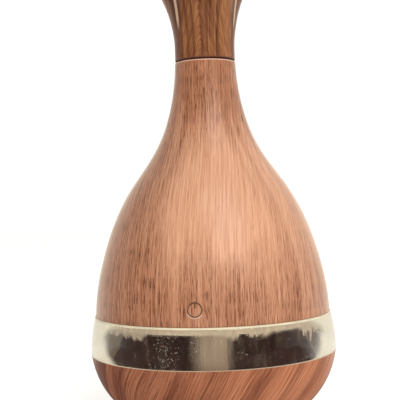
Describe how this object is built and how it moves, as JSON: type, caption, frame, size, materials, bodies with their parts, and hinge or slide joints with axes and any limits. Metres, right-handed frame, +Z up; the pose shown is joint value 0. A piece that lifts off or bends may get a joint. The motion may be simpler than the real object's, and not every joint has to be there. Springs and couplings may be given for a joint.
{
  "type": "cool mist humidifier",
  "caption": "Vase-shaped cool mist humidifier: wood-grain bowl and neck, clear water window, petal mist head, cotton wick and piezo mist disc.",
  "frame": {"origin": "centre of the foot ring on the table", "axes": "+Z up the vase's axis, -Y towards the front with the button, +X to the right seen from the front"},
  "size_m": [0.1, 0.1, 0.183],
  "materials": {
    "wood_film": "wood-grain transfer film on moulded plastic, satin",
    "clear_plastic": "clear moulded plastic, slightly warm",
    "foot_rubber": "matt dark rubber",
    "silicone": "translucent off-white silicone",
    "cream_plastic": "moulded cream plastic",
    "tan_plastic": "moulded light tan plastic",
    "brown_plastic": "moulded dark brown plastic",
    "white_plastic": "moulded white plastic",
    "black_plastic": "moulded black plastic",
    "board": "green solder mask on glass-fibre board",
    "screw_steel": "zinc-plated steel",
    "socket_steel": "plated folded sheet",
    "ferrite": "sintered dark grey",
    "copper_wire": "enamelled copper wire",
    "capacitor_sleeve": "aluminium can in a dark blue sleeve",
    "lamp": "moulded lamp package",
    "lead_red": "insulated wire",
    "lead_black": "insulated wire",
    "spring_steel": "stainless wire",
    "mesh_steel": "stainless sheet",
    "piezo_ceramic": "silvered ceramic",
    "cotton": "pressed cotton"
  },
  "bodies": {
    "tank": {"base_bowl": "wood_film", "window_ring": "clear_plastic", "foot_ring": "foot_rubber", "rim_gasket": "silicone"},
    "upper_unit": {"upper_shell": "wood_film", "deck": "cream_plastic", "skirt_seal": "silicone", "deck_screws": "screw_steel", "main_board": "board", "board_screws": "screw_steel", "board_chips": "black_plastic", "boost_coil": "ferrite", "coil_winding": "copper_wire", "capacitors": "capacitor_sleeve", "lamps": "lamp", "tact_switch": "black_plastic", "usb_socket": "socket_steel", "port_plate": "black_plastic", "lead_live": "lead_red", "lead_return": "lead_black", "lead_clips": "cream_plastic", "guide_tube": "cream_plastic", "holder_gasket": "silicone", "collar": "brown_plastic", "head_seal": "silicone", "disc_gasket": "silicone", "mesh_plate": "mesh_steel", "piezo_ring": "piezo_ceramic", "disc_retainer": "cream_plastic"},
    "button": {"power_button": "wood_film", "switch_plunger": "white_plastic"},
    "wick_carrier": {"wick_holder": "tan_plastic", "wick_cap": "tan_plastic", "wick_spring": "spring_steel"},
    "wick_stick": {"wick": "cotton"},
    "head": {"mist_head": "wood_film", "nozzle_insert": "cream_plastic"}
  },
  "joints": [
    {"name": "upper_unit_lift", "type": "slide", "parent": "tank", "child": "upper_unit", "axis": [0, 0, 1], "range_m": [0, 0.06]},
    {"name": "button_press", "type": "slide", "parent": "upper_unit", "child": "button", "axis": [0, 1, 0], "range_m": [0, 0.0006], "stiffness_N_per_m": 1500, "springref_m": -0.0006},
    {"name": "wick_holder_turn", "type": "hinge", "parent": "upper_unit", "child": "wick_carrier", "pos_m": [0, 0, 0.042], "axis": [0, 0, 1], "range_deg": [0, 90]},
    {"name": "wick_travel", "type": "slide", "parent": "wick_carrier", "child": "wick_stick", "axis": [0, 0, -1], "range_m": [0, 0.0015], "stiffness_N_per_m": 150, "springref_m": -0.002, "deforming": ["wick_spring"]},
    {"name": "head_lift", "type": "slide", "parent": "upper_unit", "child": "head", "axis": [0, 0, 1], "range_m": [0, 0.03]}
  ]
}
